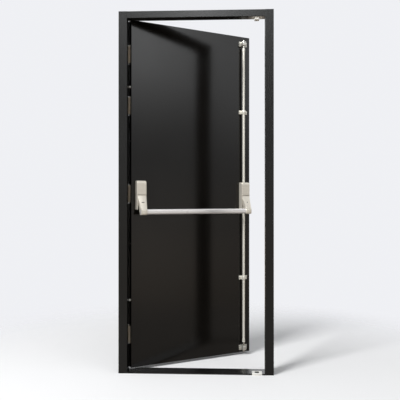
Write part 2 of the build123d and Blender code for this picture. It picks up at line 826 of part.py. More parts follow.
# Arms: hollow castings that hang from the pivot pins and hold the bar
def arm(centre):
    """Tapered arm with a web in front, two cheeks and a solid end around the bar."""
    left_u = centre - arm_top_width / 2
    hub_inside = arm_top_width / 2 - arm_wall
    end_inside = arm_end_width / 2 - arm_end_wall
    taper_top = pivot_height - arm_hub_radius
    taper_bottom = bar_z + bar_height / 2 + socket_wall
    hub_web_back = pivot_v - arm_hub_radius + arm_web
    end_web_back = bar_v - bar_depth / 2 - socket_wall + arm_end_web
    socket_back = bar_v + bar_depth / 2 + socket_wall
    open_back = pivot_v + 3 * arm_hub_radius
    with BuildPart() as casting:
        with BuildSketch(section(left_u)):
            with Locations((pivot_v, pivot_height)):
                Circle(arm_hub_radius)
            with Locations((bar_v, bar_z)):
                RectangleRounded(
                    bar_depth + 2 * socket_wall,
                    bar_height + 2 * socket_wall,
                    bar_depth / 2,
                )
            make_hull()
        extrude(amount=arm_top_width)
        for side in (-1, 1):
            with BuildSketch(face(inner_v)):
                with BuildLine():
                    edge = centre + side * arm_top_width / 2
                    end = centre + side * arm_end_width / 2
                    Polyline(
                        (edge, taper_top),
                        (end, taper_bottom),
                        (end, bar_z - 2 * bar_height),
                        (edge + side * arm_wall, bar_z - 2 * bar_height),
                        (edge + side * arm_wall, taper_top),
                        close=True,
                    )
                make_face()
            extrude(amount=3 * housing_depth, mode=Mode.SUBTRACT)
        with BuildSketch(section(centre - hub_inside)):
            with Locations((pivot_v + arm_web, pivot_height)):
                Circle(arm_hub_radius + arm_relief)
            with BuildLine():
                Polyline(
                    (hub_web_back, pivot_height),
                    (hub_web_back - arm_web_lean, taper_top),
                    (open_back, taper_top),
                    (open_back, pivot_height),
                    close=True,
                )
            make_face()
        extrude(amount=2 * hub_inside, mode=Mode.SUBTRACT)
        with BuildSketch(section(centre - end_inside)):
            with BuildLine():
                Polyline(
                    (hub_web_back, pivot_height),
                    (end_web_back, taper_bottom + arm_floor),
                    (socket_back, bar_z + bar_depth / 2),
                    (socket_back, bar_z - bar_depth / 2),
                    (open_back, bar_z - bar_depth / 2),
                    (open_back, pivot_height),
                    close=True,
                )
            make_face()
        extrude(amount=2 * end_inside, mode=Mode.SUBTRACT)
        with BuildSketch(section(left_u - overshoot)):
            with Locations((pivot_v, pivot_height)):
                Circle(pivot_pin_radius + running_fit)
            with Locations((bar_v, bar_z)):
                SlotOverall(bar_height + 2 * bar_fit, bar_depth + 2 * bar_fit, rotation=90)
        extrude(amount=arm_top_width + 2 * overshoot, mode=Mode.SUBTRACT)
    return casting


save(arm(inactive_housing_u), "inactive_arm")
save(arm(active_housing_u), "active_arm")

# Bar: a flat-sided tube through the ends of both arms, closed by two caps
bar_left = inactive_housing_u - arm_end_width / 2 + cap_thickness
bar_right = active_housing_u + arm_end_width / 2 - cap_thickness
with BuildPart() as bar_tube:
    with BuildSketch(section(bar_left)):
        with Locations((bar_v, bar_z)):
            SlotOverall(bar_height, bar_depth, rotation=90)
            SlotOverall(bar_height - 2 * bar_wall, bar_depth - 2 * bar_wall, rotation=90, mode=Mode.SUBTRACT)
    extrude(amount=bar_right - bar_left)
save(bar_tube, "push_bar_tube")

cap_inset = bar_wall + cap_play
with BuildPart() as bar_caps:
    for end, direction in ((bar_left, 1), (bar_right, -1)):
        with BuildSketch(section(end)):
            with Locations((bar_v, bar_z)):
                SlotOverall(bar_height, bar_depth, rotation=90)
        extrude(amount=-direction * cap_thickness)
        with BuildSketch(section(end)):
            with Locations((bar_v, bar_z)):
                SlotOverall(bar_height - 2 * cap_inset, bar_depth - 2 * cap_inset, rotation=90)
        extrude(amount=direction * cap_plug)
save(bar_caps, "push_bar_caps")


# Rods with their bolts and carriers
def rod_line(sign, carrier_end, collar_end, tip):
    """Carrier, rod and bolt along one line, drawn from the middle of the leaf outwards."""
    block_far = carrier_end + sign * carrier_length
    seat = carrier_end + sign * carrier_floor
    with BuildPart() as carrier:
        low = min(carrier_end, block_far)
        high = max(carrier_end, block_far)
        leaf_box(
            rod_u - carrier_width / 2,
            rod_u + carrier_width / 2,
            rod_v - carrier_depth / 2,
            rod_v + carrier_depth / 2,
            low,
            high,
        )
        with BuildSketch(level(seat)):
            with Locations((rod_u, rod_v)):
                Circle(rod_radius + running_fit)
        extrude(amount=sign * carrier_length, mode=Mode.SUBTRACT)
    with BuildPart() as rod:
        with BuildSketch(level(seat)):
            with Locations((rod_u, rod_v)):
                Circle(rod_radius)
        extrude(amount=collar_end - seat)
        with BuildSketch(level(collar_end)):
            with Locations((rod_u, rod_v)):
                Circle(collar_radius)
        extrude(amount=-sign * collar_length)
        fillet(rod.edges().filter_by(GeomType.CIRCLE).group_by(SortBy.RADIUS)[-1], collar_edge)
        with BuildSketch(level(seat)):
            with Locations((rod_u, rod_v)):
                Circle(rod_bore)
        extrude(amount=collar_end - seat, mode=Mode.SUBTRACT)
    with BuildPart() as bolt:
        with BuildSketch(level(collar_end)):
            with Locations((rod_u, rod_v)):
                Circle(bolt_radius)
        extrude(amount=tip - collar_end)
        end_edges = bolt.edges().filter_by(GeomType.CIRCLE).sort_by(Axis.Z)
        chamfer(end_edges[-1] if sign > 0 else end_edges[0], bolt_nose)
        with BuildSketch(level(collar_end)):
            with Locations((rod_u, rod_v)):
                Circle(rod_bore - running_fit)
        extrude(amount=-sign * bolt_spigot_length)
    return carrier, rod, bolt


upper_set = rod_line(1, pivot_height + carrier_gap, upper_collar_end, upper_tip)
lower_set = rod_line(-1, pivot_height - carrier_gap, lower_collar_end, lower_tip)
for prefix, pieces in (("upper", upper_set), ("lower", lower_set)):
    for piece, name in zip(pieces, ("rod_carrier", "rod", "bolt")):
        save(piece, f"{prefix}_{name}")


# Guides and bolt brackets on the leaf
def guide(height):
    """Screwed pad with a round eye around the rod."""
    eye = rod_radius + guide_wall
    with BuildPart() as piece:
        leaf_box(
            guide_left,
            guide_left + guide_length,
            inner_v - pad_thickness,
            inner_v,
            height - guide_height / 2,
            height + guide_height / 2,
        )
        with BuildSketch(level(height - guide_height / 2)):
            with Locations((rod_u, rod_v)):
                Circle(eye)
            with Locations((rod_u, (inner_v + rod_v) / 2)):
                Rectangle(2 * eye, rod_stand_off)
            with Locations((rod_u, rod_v)):
                Circle(rod_radius + running_fit, mode=Mode.SUBTRACT)
        extrude(amount=guide_height)
        pad_holes = [(u, z, 0) for u, z in pad_screws_at if z == height]
        with Locations(*spots(face(inner_v), pad_holes)):
            Cylinder(screw_radius + screw_play, 4 * pad_thickness, mode=Mode.SUBTRACT)
    return piece


def bolt_bracket(height):
    """Screwed pad with a block that guides the bolt."""
    block_front = rod_v - bracket_boss_left
    with BuildPart() as piece:
        leaf_box(
            guide_left,
            guide_left + bracket_length,
            inner_v - pad_thickness,
            inner_v,
            height - bracket_height / 2,
            height + bracket_height / 2,
        )
        with BuildSketch(level(height - bracket_boss_height / 2)):
            with BuildLine():
                Polyline(
                    (rod_u - bracket_boss_left, inner_v),
                    (rod_u - bracket_boss_left, block_front),
                    (rod_u + bracket_boss_right, block_front),
                    (rod_u + bracket_boss_right, inner_v),
                    close=True,
                )
            make_face()
            fillet(vertices().sort_by(Axis.Y)[:2], bracket_boss_corner)
            with Locations((rod_u, rod_v)):
                Circle(bolt_radius + running_fit, mode=Mode.SUBTRACT)
        extrude(amount=bracket_boss_height)
        pad_holes = [(u, z, 0) for u, z in pad_screws_at if z == height]
        with Locations(*spots(face(inner_v), pad_holes)):
            Cylinder(screw_radius + screw_play, 4 * pad_thickness, mode=Mode.SUBTRACT)
    return piece


save(guide(guide_heights[0]), "lower_rod_guide")
save(guide(guide_heights[1]), "upper_rod_guide")
save(bolt_bracket(lower_bracket_height), "lower_bolt_bracket")
save(bolt_bracket(upper_bracket_height), "upper_bolt_bracket")

pad_face = face(inner_v - pad_thickness)
save(copy_screws(plate_screw, spots(pad_face, [(u, z, 0) for u, z in pad_screws_at])), "guide_screws")
save(
    copy_screws(plate_screw, spots(pad_face, [(u, z, 0) for u, z in backplate_screws_at])),
    "backplate_screws",
)
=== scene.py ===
import json
import math

import bmesh
import bpy
from bpy.props import FloatProperty, FloatVectorProperty, IntProperty, PointerProperty
from bpy.types import Operator, Panel, PropertyGroup
from mathutils import Matrix, Vector
from mathutils.bvhtree import BVHTree


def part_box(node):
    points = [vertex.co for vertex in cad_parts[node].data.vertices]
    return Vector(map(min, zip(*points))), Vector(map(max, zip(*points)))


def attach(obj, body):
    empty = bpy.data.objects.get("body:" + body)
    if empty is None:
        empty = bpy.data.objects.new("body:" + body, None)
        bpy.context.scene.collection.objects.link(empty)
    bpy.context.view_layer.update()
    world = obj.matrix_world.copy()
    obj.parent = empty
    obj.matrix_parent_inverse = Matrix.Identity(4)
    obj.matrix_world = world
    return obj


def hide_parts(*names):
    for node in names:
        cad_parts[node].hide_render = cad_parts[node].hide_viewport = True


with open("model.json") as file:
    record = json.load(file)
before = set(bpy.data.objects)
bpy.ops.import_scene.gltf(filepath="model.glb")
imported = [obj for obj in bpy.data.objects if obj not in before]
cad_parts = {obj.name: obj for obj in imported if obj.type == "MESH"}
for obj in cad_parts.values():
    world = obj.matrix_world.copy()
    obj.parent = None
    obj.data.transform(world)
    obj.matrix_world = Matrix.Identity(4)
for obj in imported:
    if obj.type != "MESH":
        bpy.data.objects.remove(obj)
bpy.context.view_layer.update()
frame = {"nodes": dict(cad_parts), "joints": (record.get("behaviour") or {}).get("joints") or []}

bl_info = {
    "name": "Fire exit door",
    "version": (1, 0, 0),
    "blender": (4, 5, 0),
    "location": "View3D > Sidebar > Fire exit door",
    "description": "Finishes, fasteners, seals and studio for a steel fire exit door in its frame",
    "category": "Object",
}

MILLIMETRE = 0.001
UP = Vector((0, 0, 1))
JOINTS = {joint["name"]: joint for joint in frame["joints"]}

# The open leaf's own axes, from the hinge line: x along the leaf, y outwards, z up
ALONG = Vector(JOINTS["push_bar_press"]["axis"]).normalized()
OUTWARD = UP.cross(ALONG)
HINGE_LINE = Vector(JOINTS["leaf_swing"]["pos_m"])
LEAF = Matrix.Translation(HINGE_LINE) @ Matrix((ALONG, OUTWARD, UP)).transposed().to_4x4()

# Soft glows around the studio: direction from the door, reach and strength
GLOWS = (
    ((0.75, -0.62, 0.30), 0.20, 2.8),
    ((0.87, -0.44, 0.24), 0.20, 1.1),
    ((-0.04, -0.93, 0.365), 0.12, 15.0),
    ((0.78, -0.62, -0.10), 0.22, 0.3),
    ((0.0, -0.85, -0.52), 0.40, 1.2),
)

# Square lamps: place and side, in metres
KEY_LAMP = ((-5.1, -6.3, 6.9), 3.1)
TOP_LAMP = ((0.2, -0.8, 4.4), 3.0)

# Floor, in metres: its radius, and the reach over which it fades into the backdrop
FLOOR_RADIUS = 16
FLOOR_FADE = (0.9, 2.4)

# Where the studio turns from one look to the next: the first by the Y part of a direction, from
# the camera's side to behind the door, and the others by its Z part, from low to high
FRONT_TO_BEHIND = (-0.25, 0.45)
LOW_TO_LEVEL = (-0.26, -0.08)
WARM_TO_COOL = (-0.15, 0.12)
FAR_FLOOR_TO_BACKDROP = (-0.32, -0.2)
WARM_LIGHT = (1.0, 0.88, 0.76, 1.0)
COOL_LIGHT = (0.97, 0.985, 1.0, 1.0)

# Meshes: how near doubles lie, which faces are one flat, which edges are eased, which shade sharp
DOUBLES = 2e-6
FLAT_ANGLE = math.radians(0.6)
HARD_ANGLE = math.radians(40)
SHARP_ANGLE = math.radians(35)

# Easing of edges, as shares of the eased edge in the settings
FINE_EASING = 0.5
ARM_EASING = 1.6

# Screws: the recess as shares of the top's radius and of its own width, the rest as shares of the
# largest radius
RECESS_REACH = 0.52
RECESS_TAPER = 0.72
SUNK_TOP = 0.97
SUNK_SHANK = 0.58
PAN_SHANK = 0.6
GUIDE_SCREW_TOP = 0.55
GUIDE_SCREW_HEAD = 0.5
STRIKE_SCREW_TOP = 0.6
SUNK_RIM = 0.15 * MILLIMETRE

# Domes of the hinge pins: share of the pin's radius, and share of their height that is sunk
DOME_SHARE = 0.88
DOME_SINK = 0.1

# Marks on the arms, in metres: height above the push bar, and where the search for the front starts
MARK_HEIGHT = 40 * MILLIMETRE
SEARCH_START = 0.1
PLUG_SIZE = Vector((16, 5, 1.1)) * MILLIMETRE
PLUG_ROUNDING = 2.4 * MILLIMETRE
SET_SCREW_TOP = 2.1 * MILLIMETRE
SET_SCREW_RADIUS = 3.2 * MILLIMETRE
SET_SCREW_HEAD = 0.9 * MILLIMETRE
SET_SCREW_SHANK = 2.4 * MILLIMETRE
SET_SCREW_LENGTH = 0.6 * MILLIMETRE
SET_SCREW_LIFT = 0.4 * MILLIMETRE

# Rod carriers: width along the leaf as a share of the solid's, so that they run free
CARRIER_WIDTH = 0.98

# Rubber seal: thickness between the ribs as a share of the whole
RIB_FOOT = 0.45

# Rubber strips beside the hinges, in metres; their dark rubber also stands in as painted shade in the gap
# at the hinge edge
STRIP_BITE = 0.05 * MILLIMETRE
HINGE_CLEARANCE = 4 * MILLIMETRE
LIP_REACH = 2.9 * MILLIMETRE
LIP_SEAT = 5 * MILLIMETRE
LIP_THICKNESS = 1.5 * MILLIMETRE
LIP_SLANT = 0.55 * MILLIMETRE
LIP_ROUNDING = 0.3 * MILLIMETRE
LIP_PAST_TOP = 3.4 * MILLIMETRE
LIP_PAST_BOTTOM = 7 * MILLIMETRE
JAMB_STRIP_WIDTH = 2.6 * MILLIMETRE
JAMB_STRIP_FRONT = 4 * MILLIMETRE
JAMB_STRIP_BACK = 0.3 * MILLIMETRE
JAMB_STRIP_ROUNDING = 0.5 * MILLIMETRE

HINGE_NUMBERS = (1, 2, 3, 4)
BRACKET_FINISHES = {"rod_guide": "rod_silver", "bolt_bracket": "bright_zinc"}
FRAME_NODES = ("hinge_jamb", "lock_jamb", "frame_head")
SKIN_NODES = ("leaf_inner_skin", "leaf_outer_skin")
INNER_NODES = (
    "hinge_stile",
    "lock_stile",
    "top_rail",
    "bottom_rail",
    "frame_hinge_plates",
    "leaf_hinge_plates",
    "inactive_backplate",
    "active_backplate",
)


class PaintSettings(PropertyGroup):
    """Colours and gloss of the painted and plated surfaces."""

    frame_colour: FloatVectorProperty(
        name="Frame colour",
        description="Powder coat of the jambs, head and threshold",
        subtype="COLOR",
        size=3,
        min=0,
        max=1,
        default=(0.006, 0.006, 0.0056),
    )
    leaf_colour: FloatVectorProperty(
        name="Leaf colour",
        description="Powder coat of the leaf's two skins",
        subtype="COLOR",
        size=3,
        min=0,
        max=1,
        default=(0.0042, 0.0035, 0.0028),
    )
    frame_roughness: FloatProperty(
        name="Frame roughness",
        description="How blurred the frame's reflections are",
        subtype="FACTOR",
        min=0,
        max=1,
        default=0.24,
    )
    leaf_roughness: FloatProperty(
        name="Leaf roughness",
        description="How blurred the leaf's reflections are",
        subtype="FACTOR",
        min=0,
        max=1,
        default=0.16,
    )
    device_colour: FloatVectorProperty(
        name="Device colour",
        description="Silver paint of the covers, arms and brackets",
        subtype="COLOR",
        size=3,
        min=0,
        max=1,
        default=(0.79, 0.745, 0.655),
    )
    bar_colour: FloatVectorProperty(
        name="Bar colour",
        description="Silver paint of the push bar",
        subtype="COLOR",
        size=3,
        min=0,
        max=1,
        default=(0.95, 0.92, 0.91),
    )
    rod_colour: FloatVectorProperty(
        name="Rod colour",
        description="Silver paint of the vertical rods",
        subtype="COLOR",
        size=3,
        min=0,
        max=1,
        default=(0.84, 0.82, 0.74),
    )
    hinge_colour: FloatVectorProperty(
        name="Hinge colour",
        description="Stainless steel of the hinges",
        subtype="COLOR",
        size=3,
        min=0,
        max=1,
        default=(0.86, 0.78, 0.68),
    )
    zinc_colour: FloatVectorProperty(
        name="Zinc colour",
        description="Bright zinc of the strikes, bolts and screws",
        subtype="COLOR",
        size=3,
        min=0,
        max=1,
        default=(0.66, 0.65, 0.6),
    )


class DetailSettings(PropertyGroup):
    """Sizes of the small parts that are added to the model."""

    eased_edge: FloatProperty(
        name="Eased edge",
        description="Width of the rounding on the edges of castings and plates",
        subtype="DISTANCE",
        min=0,
        max=0.003,
        default=0.0007,
    )
    recess_width: FloatProperty(
        name="Recess width",
        description="Width of each arm of a screw's cross recess",
        subtype="DISTANCE",
        min=0.0003,
        max=0.002,
        default=0.0009,
    )
    recess_depth: FloatProperty(
        name="Recess depth",
        description="Depth of a screw's cross recess",
        subtype="DISTANCE",
        min=0.0003,
        max=0.002,
        default=0.0011,
    )
    pin_dome: FloatProperty(
        name="Pin dome",
        description="Height of the dome on each end of a hinge pin",
        subtype="DISTANCE",
        min=0.0005,
        max=0.003,
        default=0.0016,
    )
    seal_ribs: IntProperty(
        name="Seal ribs",
        description="Ribs across the width of the rubber seal",
        min=2,
        max=8,
        default=4,
    )


class StageSettings(PropertyGroup):
    """Camera, lamps and floor."""

    camera_place: FloatVectorProperty(
        name="Camera place",
        description="Where the camera stands",
        subtype="TRANSLATION",
        size=3,
        default=(0.175, -3.287, 0.998),
    )
    camera_turn: FloatProperty(
        name="Camera turn",
        description="How far the camera looks to the left of straight ahead",
        subtype="ANGLE",
        default=math.radians(2.65),
    )
    camera_tilt: FloatProperty(
        name="Camera tilt",
        description="How far the camera looks up",
        subtype="ANGLE",
        default=math.radians(0.08),
    )
    camera_lens: FloatProperty(
        name="Lens",
        description="Focal length of the camera",
        subtype="DISTANCE_CAMERA",
        min=1,
        default=50.77,
    )
    backdrop_colour: FloatVectorProperty(
        name="Backdrop colour",
        description="Pale backdrop behind the floor",
        subtype="COLOR",
        size=3,
        min=0,
        max=1,
        default=(0.866, 0.874, 0.905),
    )
    far_floor_colour: FloatVectorProperty(
        name="Far floor colour",
        description="Backdrop where it takes over from the floor",
        subtype="COLOR",
        size=3,
        min=0,
        max=1,
        default=(0.955, 0.957, 0.97),
    )
    floor_colour: FloatVectorProperty(
        name="Floor colour",
        description="Pale floor",
        subtype="COLOR",
        size=3,
        min=0,
        max=1,
        default=(0.92, 0.92, 0.925),
    )
    bounce_colour: FloatVectorProperty(
        name="Bounce colour",
        description="Floor as the door's reflections and the light see it",
        subtype="COLOR",
        size=3,
        min=0,
        max=1,
        default=(0.36, 0.33, 0.3),
    )
    room_level: FloatProperty(
        name="Room level",
        description="Brightness of the plain studio around the camera",
        min=0,
        default=0.46,
    )
    behind_level: FloatProperty(
        name="Level behind",
        description="Brightness that the plain studio behind the door sheds",
        min=0,
        default=0.25,
    )
    behind_glare: FloatProperty(
        name="Glare behind",
        description="Brightness of the backdrop behind the door in its reflections",
        min=0,
        default=1.3,
    )
    low_share: FloatProperty(
        name="Low share",
        description="Brightness of the studio below the horizon, as a share of the rest",
        subtype="FACTOR",
        min=0,
        max=1,
        default=0.5,
    )
    key_power: FloatProperty(
        name="Key power",
        description="Lamp high at the front left",
        subtype="POWER",
        min=0,
        default=940,
    )
    top_power: FloatProperty(
        name="Top power",
        description="Lamp overhead",
        subtype="POWER",
        min=0,
        default=20,
    )


class Value:
    """One output of a graph, so that shader maths can be written as Python arithmetic."""

    def __init__(self, graph, socket):
        self.graph = graph
        self.socket = socket

    def __add__(self, other):
        return self.graph.maths("ADD", self, other)

    def __radd__(self, other):
        return self.graph.maths("ADD", other, self)

    def __sub__(self, other):
        return self.graph.maths("SUBTRACT", self, other)

    def __rsub__(self, other):
        return self.graph.maths("SUBTRACT", other, self)

    def __mul__(self, other):
        return self.graph.maths("MULTIPLY", self, other)

    def __rmul__(self, other):
        return self.graph.maths("MULTIPLY", other, self)


class Graph:
    """The nodes of one material or world."""

    def __init__(self, owner):
        owner.use_nodes = True
        self.tree = owner.node_tree
        self.tree.nodes.clear()

    def node(self, kind, settings=None, inputs=None, output=0):
        """Adds a node, with its settings first and then its inputs, and returns one output."""
        made = self.tree.nodes.new(kind)
        for name, value in (settings or {}).items():
            setattr(made, name, value)
        for name, value in (inputs or {}).items():
            if isinstance(value, Value):
                self.tree.links.new(value.socket, made.inputs[name])
            else:
                made.inputs[name].default_value = value
        return Value(self, made.outputs[output]) if len(made.outputs) else None

    def maths(self, operation, first, second):
        """A Math node's result."""
        return self.node("ShaderNodeMath", {"operation": operation}, {0: first, 1: second})

    def limited(self, value, low, high, start=0.0, end=1.0):
        """A value carried from one range to another and kept inside it, with soft ends."""
        settings = {"interpolation_type": "SMOOTHSTEP"}
        ends = {"From Min": low, "From Max": high, "To Min": start, "To Max": end}
        return self.node("ShaderNodeMapRange", settings, {"Value": value, **ends})

    def mixed(self, share, first, second):
        """Two colours mixed by a share from 0 to 1."""
        settings = {"data_type": "RGBA"}
        return self.node("ShaderNodeMix", settings, {0: share, 6: first, 7: second}, 2)

    def places(self, stretch=(1, 1, 1)):
        """Object coordinates in metres, stretched for a grain that runs one way."""
        here = self.node("ShaderNodeTexCoord", output="Object")
        return self.node("ShaderNodeMapping", inputs={"Vector": here, "Scale": stretch})

    def noise(self, places, scale, detail=2.0, roughness=0.5):
        """Soft noise from 0 to 1, with about scale patches to a metre."""
        inputs = {"Vector": places, "Scale": scale, "Detail": detail, "Roughness": roughness}
        return self.node("ShaderNodeTexNoise", inputs=inputs)

    def bumped(self, height, strength, distance):
        """A normal that follows a height, in metres."""
        inputs = {"Height": height, "Strength": strength, "Distance": distance}
        return self.node("ShaderNodeBump", inputs=inputs)

    def surface(self, **inputs):
        """The Principled surface, from inputs named with underscores for spaces."""
        named = {name.replace("_", " "): value for name, value in inputs.items()}
        if "Specular" in named:
            named["Specular IOR Level"] = named.pop("Specular")
        shader = self.node("ShaderNodeBsdfPrincipled", inputs=named)
        self.node("ShaderNodeOutputMaterial", inputs={"Surface": shader})


def opaque(colour):
    """A colour property as the four numbers that a socket takes."""
    return (*colour, 1.0)


def lighter(colour, factor):
    """A colour with each channel multiplied, kept at or under 1."""
    return tuple(min(channel * factor, 1.0) for channel in colour)


def powder_coat(graph, colour, roughness):
    """Baked powder paint: an orange-peel skin, a little dust and uneven gloss."""
    places = graph.places()
    peel = graph.noise(places, scale=520, detail=2)
    cloud = graph.noise(places, scale=3.1, detail=4, roughness=0.6)
    dust = graph.limited(graph.noise(places, scale=1900, detail=1), low=0.66, high=0.8)
    clouded = graph.mixed(cloud, opaque(lighter(colour, 0.85)), opaque(lighter(colour, 1.2)))
    graph.surface(
        Base_Color=graph.mixed(dust * 0.25, clouded, opaque(lighter(colour, 4.0))),
        Roughness=roughness + (cloud - 0.5) * 0.08 + (peel - 0.5) * 0.05,
        Specular=0.42,
        Normal=graph.bumped(peel, strength=0.12, distance=0.0002),
    )


def silver_paint(graph, colour, roughness, metallic):
    """Metallic paint on a casting or tube: fine flakes and a faintly uneven skin."""
    places = graph.places()
    flakes = graph.noise(places, scale=2600, detail=1)
    skin = graph.noise(places, scale=240, detail=3)
    cloud = graph.noise(places, scale=14, detail=3)
    bright_flakes = graph.limited(flakes, low=0.35, high=0.7)
    flecked = graph.mixed(bright_flakes, opaque(lighter(colour, 0.9)), opaque(lighter(colour, 1.1)))
    graph.surface(
        Base_Color=graph.mixed(cloud * 0.35, flecked, opaque(lighter(colour, 0.86))),
        Metallic=metallic,
        Roughness=roughness + (cloud - 0.5) * 0.1 + (flakes - 0.5) * 0.08,
        Normal=graph.bumped(skin, strength=0.1, distance=0.0001),
    )


def brushed_steel(graph, colour, roughness, metallic, stretch):
    """Steel with faint stains and a grain that runs one way."""
    grain = graph.noise(graph.places(stretch), scale=900, detail=3, roughness=0.6)
    stain = graph.noise(graph.places(), scale=38, detail=4, roughness=0.6)
    grained = graph.mixed(grain, opaque(lighter(colour, 0.78)), opaque(lighter(colour, 1.18)))
    stained = graph.limited(stain, low=0.5, high=0.8, start=0.0, end=0.4)
    graph.surface(
        Base_Color=graph.mixed(stained, grained, opaque(lighter(colour, 0.6))),
        Metallic=metallic,
        Roughness=roughness + (grain - 0.5) * 0.2,
        Normal=graph.bumped(grain, strength=0.15, distance=0.00008),
    )


def zinc_plate(graph, colour, roughness, metallic):
    """Bright zinc: small crystals in slightly different greys."""
    places = graph.places()
    inputs = {"Vector": places, "Scale": 420.0}
    crystals = graph.node("ShaderNodeTexVoronoi", inputs=inputs, output="Distance")
    cloud = graph.noise(places, scale=60, detail=3)
    graph.surface(
        Base_Color=graph.mixed(cloud, opaque(lighter(colour, 0.8)), opaque(lighter(colour, 1.15))),
        Metallic=metallic,
        Roughness=roughness + crystals * 0.12 + (cloud - 0.5) * 0.12,
        Normal=graph.bumped(crystals, strength=0.08, distance=0.0001),
    )


def soft_black(graph, colour, roughness, grain):
    """Rubber or plastic: matt black with a fine moulded grain, and pale bloom in patches."""
    places = graph.places()
    pits = graph.noise(places, scale=grain, detail=2)
    bloom = graph.noise(places, scale=22, detail=4)
    graph.surface(
        Base_Color=graph.mixed(bloom * 0.5, opaque(colour), opaque(lighter(colour, 2.2))),
        Roughness=roughness + (bloom - 0.5) * 0.15,
        Specular=0.35,
        Normal=graph.bumped(pits, strength=0.3, distance=0.0001),
    )


def honeycomb_paper(graph):
    """Brown paper board of the core, with the marks of its cells."""
    places = graph.places()
    settings = {"feature": "DISTANCE_TO_EDGE"}
    cells = graph.node("ShaderNodeTexVoronoi", settings, {"Vector": places, "Scale": 60.0})
    fibres = graph.noise(places, scale=700, detail=3)
    edge = graph.limited(cells, low=0.02, high=0.08)
    paper = graph.mixed(fibres, (0.46, 0.35, 0.22, 1), (0.62, 0.5, 0.34, 1))
    graph.surface(
        Base_Color=graph.mixed(edge, (0.3, 0.22, 0.13, 1), paper),
        Roughness=0.85 + (fibres - 0.5) * 0.1,
        Normal=graph.bumped(edge, strength=0.4, distance=0.0005),
    )


def finish(name):
    """One of the door's finishes by its plain name, made when it is first asked for."""
    paint = bpy.context.scene.fire_exit_paint
    zinc = paint.zinc_colour
    # The arms' silver is the device silver painted 1.1 times lighter, a painted highlight for the light
    # that their sloping fronts catch
    arms = lighter(paint.device_colour, 1.1)
    upright_grain = (1, 1, 0.03)
    level_grain = (0.03, 0.03, 1)
    recipes = {
        "frame_paint": (powder_coat, dict(colour=paint.frame_colour, roughness=paint.frame_roughness)),
        "leaf_paint": (powder_coat, dict(colour=paint.leaf_colour, roughness=paint.leaf_roughness)),
        "device_silver": (silver_paint, dict(colour=paint.device_colour, roughness=0.38, metallic=0.55)),
        "arm_silver_with_painted_highlight": (silver_paint, dict(colour=arms, roughness=0.3, metallic=0.5)),
        "bar_silver": (silver_paint, dict(colour=paint.bar_colour, roughness=0.3, metallic=0.6)),
        "rod_silver": (silver_paint, dict(colour=paint.rod_colour, roughness=0.34, metallic=0.4)),
        "hinge_steel": (
            brushed_steel,
            dict(colour=paint.hinge_colour, roughness=0.45, metallic=0.25, stretch=upright_grain),
        ),
        "turned_steel": (
            brushed_steel,
            dict(colour=zinc, roughness=0.24, metallic=1.0, stretch=level_grain),
        ),
        "bright_zinc": (zinc_plate, dict(colour=zinc, roughness=0.26, metallic=0.8)),
        # A copy of the zinc painted 1.4 times lighter, a painted highlight and reflection for the strikes
        # and dog bolts
        "zinc_with_painted_highlight": (zinc_plate, dict(colour=lighter(zinc, 1.4), roughness=0.3, metallic=0.15)),
        "hidden_zinc": (zinc_plate, dict(colour=lighter(zinc, 0.7), roughness=0.42, metallic=1.0)),
        "seal_rubber": (soft_black, dict(colour=(0.014, 0.014, 0.014), roughness=0.62, grain=900)),
        "black_plastic": (soft_black, dict(colour=(0.012, 0.012, 0.012), roughness=0.4, grain=1500)),
        "core_paper": (honeycomb_paper, {}),
    }
    full_name = f"finish {name}"
    if full_name not in bpy.data.materials:
        build, values = recipes[name]
        build(Graph(bpy.data.materials.new(full_name)), **values)
    return bpy.data.materials[full_name]


def dress(name, *nodes):
    """Gives CAD nodes a finish."""
    for node in nodes:
        data = frame["nodes"][node].data
        data.materials.clear()
        data.materials.append(finish(name))


def add_piece(name, mesh, finish_name, body, replaced=()):
    """Turns a finished bmesh into a piece that rides on a body and may replace CAD nodes."""
    data = bpy.data.meshes.new(name)
    mesh.to_mesh(data)
    mesh.free()
    data.shade_smooth()
    data.set_sharp_from_angle(angle=SHARP_ANGLE)
    data.materials.append(finish(finish_name))
    piece = bpy.data.objects.new(name, data)
    bpy.context.scene.collection.objects.link(piece)
    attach(piece, body)
    if replaced:
        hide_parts(*replaced)


def merged_copy(node):
    """A CAD node's mesh with its loose triangles joined up, as a bmesh."""
    mesh = bmesh.new()
    mesh.from_mesh(frame["nodes"][node].data)
    bmesh.ops.remove_doubles(mesh, verts=mesh.verts, dist=DOUBLES)
    return mesh


def eased_copy(node, width):
    """A copy of a CAD node with its hard edges rounded a little, as paint and casting leave them."""
    mesh = merged_copy(node)
    bmesh.ops.dissolve_limit(
        mesh,
        angle_limit=FLAT_ANGLE,
        use_dissolve_boundaries=False,
        verts=mesh.verts,
        edges=mesh.edges,
        delimit={"NORMAL"},
    )
    hard = [edge for edge in mesh.edges if edge.is_manifold and edge.calc_face_angle() > HARD_ANGLE]
    bmesh.ops.bevel(
        mesh,
        geom=hard,
        offset=width,
        offset_type="OFFSET",
        affect="EDGES",
        segments=2,
        profile=0.5,
        clamp_overlap=True,
        material=-1,
    )
    return mesh


def islands(mesh):
    """The separate solids of a bmesh, each as a list of its vertices."""
    seen = set()
    found = []
    for first in mesh.verts:
        if first in seen:
            continue
        seen.add(first)
        island = [first]
        for vertex in island:
            for edge in vertex.link_edges:
                near = edge.other_vert(vertex)
                if near not in seen:
                    seen.add(near)
                    island.append(near)
        found.append(island)
    return found


def screw_tops(node, normal, wanted=lambda point: True):
    """The middle of each screw's top in a CAD node, for heads that face along a normal."""
    mesh = merged_copy(node)
    tops = []
    for island in islands(mesh):
        points = [vertex.co for vertex in island]
        middle = sum(points, Vector()) / len(points)
        middle -= normal * middle.dot(normal)
        top = middle + normal * max(point.dot(normal) for point in points)
        if wanted(top):
            tops.append(top)
    mesh.free()
    return sorted(tops, key=lambda point: tuple(point))


def facing(normal, point):
    """A place whose z axis is a normal."""
    return Matrix.Translation(point) @ normal.to_track_quat("Z", "Y").to_matrix().to_4x4()


